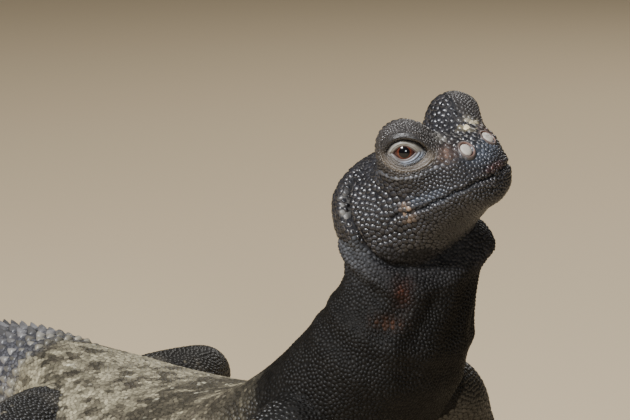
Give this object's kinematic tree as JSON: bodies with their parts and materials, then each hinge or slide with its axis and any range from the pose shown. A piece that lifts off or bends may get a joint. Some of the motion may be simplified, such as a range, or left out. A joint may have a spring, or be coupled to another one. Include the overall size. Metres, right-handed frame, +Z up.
{
  "type": "lizard model",
  "caption": "Life-size desert lizard with a rounded head, plump flattened body, clawed legs and a thick tail ringed with spines, propped up on its forelegs.",
  "frame": {"origin": "middle of the bounding box, on the floor", "axes": "+X towards the snout, +Y to the animal's left, +Z up"},
  "size_m": [0.3438, 0.188, 0.1276],
  "materials": {
    "head_skin": "dry beaded scales, charcoal with paler edges",
    "dark_skin": "dry fine scales, charcoal to black",
    "back_skin": "fine scales, pale grey-yellow with dark netting",
    "tail_skin": "rings of keeled spiny scales, slate grey",
    "eye": "wet and glossy, red-brown iris"
  },
  "bodies": {
    "root": {"head": "head_skin", "neck": "dark_skin", "torso": "back_skin", "eye_left": "eye", "eye_right": "eye", "tail_base": "tail_skin", "tail_middle": "tail_skin", "tail_tip": "tail_skin", "front_leg_right_upper": "dark_skin", "front_leg_right_lower": "dark_skin", "front_leg_right_foot": "dark_skin", "front_leg_left_upper": "dark_skin", "front_leg_left_lower": "dark_skin", "front_leg_left_foot": "dark_skin", "hind_leg_right_upper": "dark_skin", "hind_leg_right_lower": "dark_skin", "hind_leg_right_foot": "dark_skin", "hind_leg_left_upper": "dark_skin", "hind_leg_left_lower": "dark_skin", "hind_leg_left_foot": "dark_skin"}
  },
  "joints": []
}
